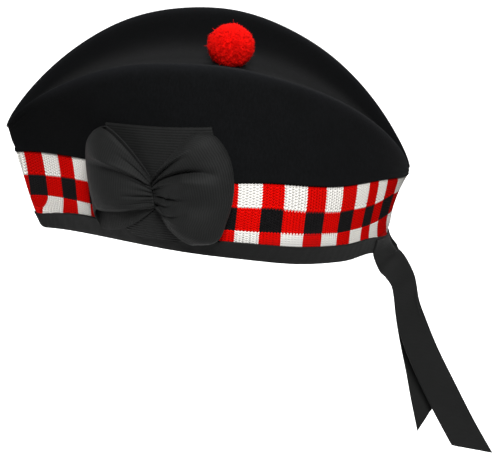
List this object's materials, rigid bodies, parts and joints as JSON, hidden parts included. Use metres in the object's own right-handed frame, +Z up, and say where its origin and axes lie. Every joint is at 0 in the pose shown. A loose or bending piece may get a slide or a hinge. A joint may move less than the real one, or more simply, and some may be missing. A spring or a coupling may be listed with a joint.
{
  "type": "glengarry cap",
  "caption": "Folded black felt cap with a red, white and black diced band, a ribbon cockade and bow on the left, a red wool toorie and two ribbon tails.",
  "frame": {"origin": "in the head opening, where the cap sits on the head: on the plane through the front and back seams, midway between the ridges' two tips, and level with the rim's front end", "axes": "+X from the front seam to the back seam, which is the object's longest extent, +Y towards the wearer's right and +Z up; the cockade is on the wearer's left, at -Y"},
  "size_m": [0.296, 0.1717, 0.2465],
  "materials": {
    "felt": "matt black milled wool felt with a short nap",
    "diced_knit": "matt knitted wool, diced in red, white and black",
    "binding_ribbon": "low-sheen black grosgrain ribbon",
    "cockade_ribbon": "low-sheen black grosgrain ribbon",
    "red_wool": "matt clipped red wool pile"
  },
  "bodies": {
    "root": {"crown": "felt", "diced_band": "diced_knit", "rim_binding": "binding_ribbon", "cockade_panel": "cockade_ribbon", "bow_front": "cockade_ribbon", "bow_back": "cockade_ribbon", "toorie": "red_wool", "tail_near": "binding_ribbon", "tail_far": "binding_ribbon"}
  },
  "joints": []
}
